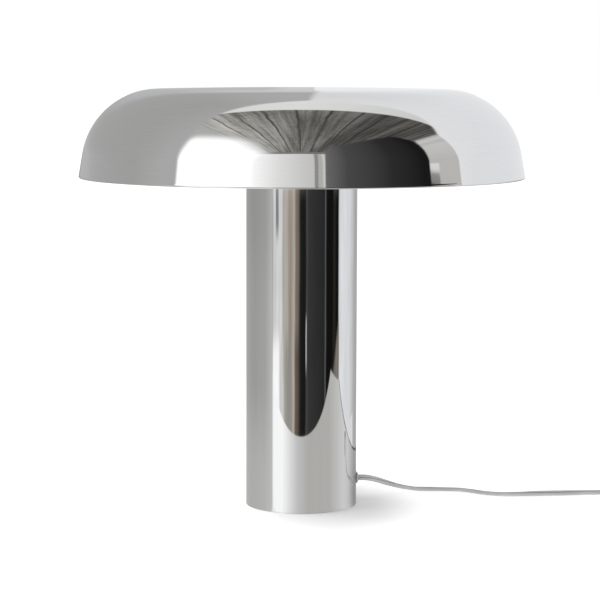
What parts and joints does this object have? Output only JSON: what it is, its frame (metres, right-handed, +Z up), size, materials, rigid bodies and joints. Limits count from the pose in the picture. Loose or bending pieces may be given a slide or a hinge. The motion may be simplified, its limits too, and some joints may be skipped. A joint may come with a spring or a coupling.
{
  "type": "mushroom lamp",
  "caption": "Chromed table lamp: a tube stem, a low domed shade held by thumb screws over a cluster of small bulbs, and a flat lead with an in-line switch, a tied coil and a plug.",
  "frame": {"origin": "centre of the felt pad's underside, on the surface that the lamp stands on", "axes": "+Z up along the stem, +X towards the side where the lead comes out, the picture's camera on the -Y side"},
  "size_m": [0.6058, 0.4188, 0.3775],
  "materials": {
    "shade": "polished chrome plate on spun steel",
    "stem": "polished chrome plate on steel tube",
    "thumb_screw": "chrome plate, knurled",
    "fittings": "zinc plate, dull",
    "ballast": "black lacquer on rough casting",
    "brass": "bare, drawn",
    "bulb_cap": "rolled, satin",
    "cluster": "white enamel",
    "holder": "moulded, fine matt",
    "opal_glass": "opal white, smooth",
    "lead": "grey flexible sheath, satin",
    "inner_lead": "white heat-proof sleeve, matt",
    "bush": "grey, satin",
    "switch_shell": "grey, fine spark texture",
    "rocker": "dark grey, semi-gloss",
    "plug": "grey, fine spark texture",
    "pins": "nickel plate, with dark grey sleeves",
    "felt": "dark felt",
    "pad": "black, matt",
    "tie": "black woven hook-and-loop strip"
  },
  "bodies": {
    "lamp": {"felt_pad": "felt", "ballast": "ballast", "stem_tube": "stem", "cord_bushing": "bush", "cord_saddle": "fittings", "saddle_screw_1": "fittings", "saddle_screw_2": "fittings", "inner_cable": "lead", "tie_rod": "fittings", "lower_washer": "fittings", "lower_nut": "fittings", "stem_cap": "fittings", "stem_nut": "fittings", "cluster_body": "cluster", "cluster_cover": "cluster", "cover_nut": "fittings", "terminal_block": "holder", "lead_1": "inner_lead", "lead_2": "inner_lead", "lead_3": "inner_lead", "nipple_1": "brass", "nipple_2": "brass", "nipple_3": "brass", "lampholder_1": "holder", "lampholder_2": "holder", "lampholder_3": "holder", "thread_sleeve_1": "brass", "thread_sleeve_2": "brass", "thread_sleeve_3": "brass", "centre_contact_1": "brass", "centre_contact_2": "brass", "centre_contact_3": "brass", "carrier_nut": "fittings", "shade_carrier": "fittings", "carrier_pad": "pad", "top_nut": "fittings", "cord_run": "lead", "cord_link": "lead", "cord_coil": "lead", "cord_end": "lead", "coil_tie": "tie", "switch_lower": "switch_shell", "switch_upper": "switch_shell", "switch_screw_1": "fittings", "switch_screw_2": "fittings", "plug_body": "plug", "plug_pin_1": "pins", "plug_pin_2": "pins"},
    "shade": {"shade": "shade", "shade_collar": "fittings"},
    "thumb_screw_1": {"thumb_screw_1": "thumb_screw"},
    "thumb_screw_2": {"thumb_screw_2": "thumb_screw"},
    "thumb_screw_3": {"thumb_screw_3": "thumb_screw"},
    "bulb_1": {"bulb_glass_1": "opal_glass", "bulb_cap_1": "bulb_cap"},
    "bulb_2": {"bulb_glass_2": "opal_glass", "bulb_cap_2": "bulb_cap"},
    "bulb_3": {"bulb_glass_3": "opal_glass", "bulb_cap_3": "bulb_cap"},
    "rocker": {"switch_rocker": "rocker"}
  },
  "joints": [
    {"name": "shade_lift", "type": "slide", "parent": "lamp", "child": "shade", "axis": [0, 0, 1], "range_m": [0, 0.1]},
    {"name": "thumb_screw_1_out", "type": "slide", "parent": "shade", "child": "thumb_screw_1", "axis": [0.866, 0.5, 0], "range_m": [0, 0.004]},
    {"name": "thumb_screw_2_out", "type": "slide", "parent": "shade", "child": "thumb_screw_2", "axis": [-0.866, 0.5, 0], "range_m": [0, 0.004]},
    {"name": "thumb_screw_3_out", "type": "slide", "parent": "shade", "child": "thumb_screw_3", "axis": [0, -1, 0], "range_m": [0, 0.004]},
    {"name": "bulb_1_out", "type": "slide", "parent": "lamp", "child": "bulb_1", "axis": [0, 1, 0], "range_m": [0, 0.024]},
    {"name": "bulb_2_out", "type": "slide", "parent": "lamp", "child": "bulb_2", "axis": [-0.866, -0.5, 0], "range_m": [0, 0.024]},
    {"name": "bulb_3_out", "type": "slide", "parent": "lamp", "child": "bulb_3", "axis": [0.866, -0.5, 0], "range_m": [0, 0.024]},
    {"name": "rocker_throw", "type": "hinge", "parent": "lamp", "child": "rocker", "pos_m": [0.325, 0.0465, 0.0124], "axis": [0, 1, 0], "range_deg": [0, 14]}
  ]
}
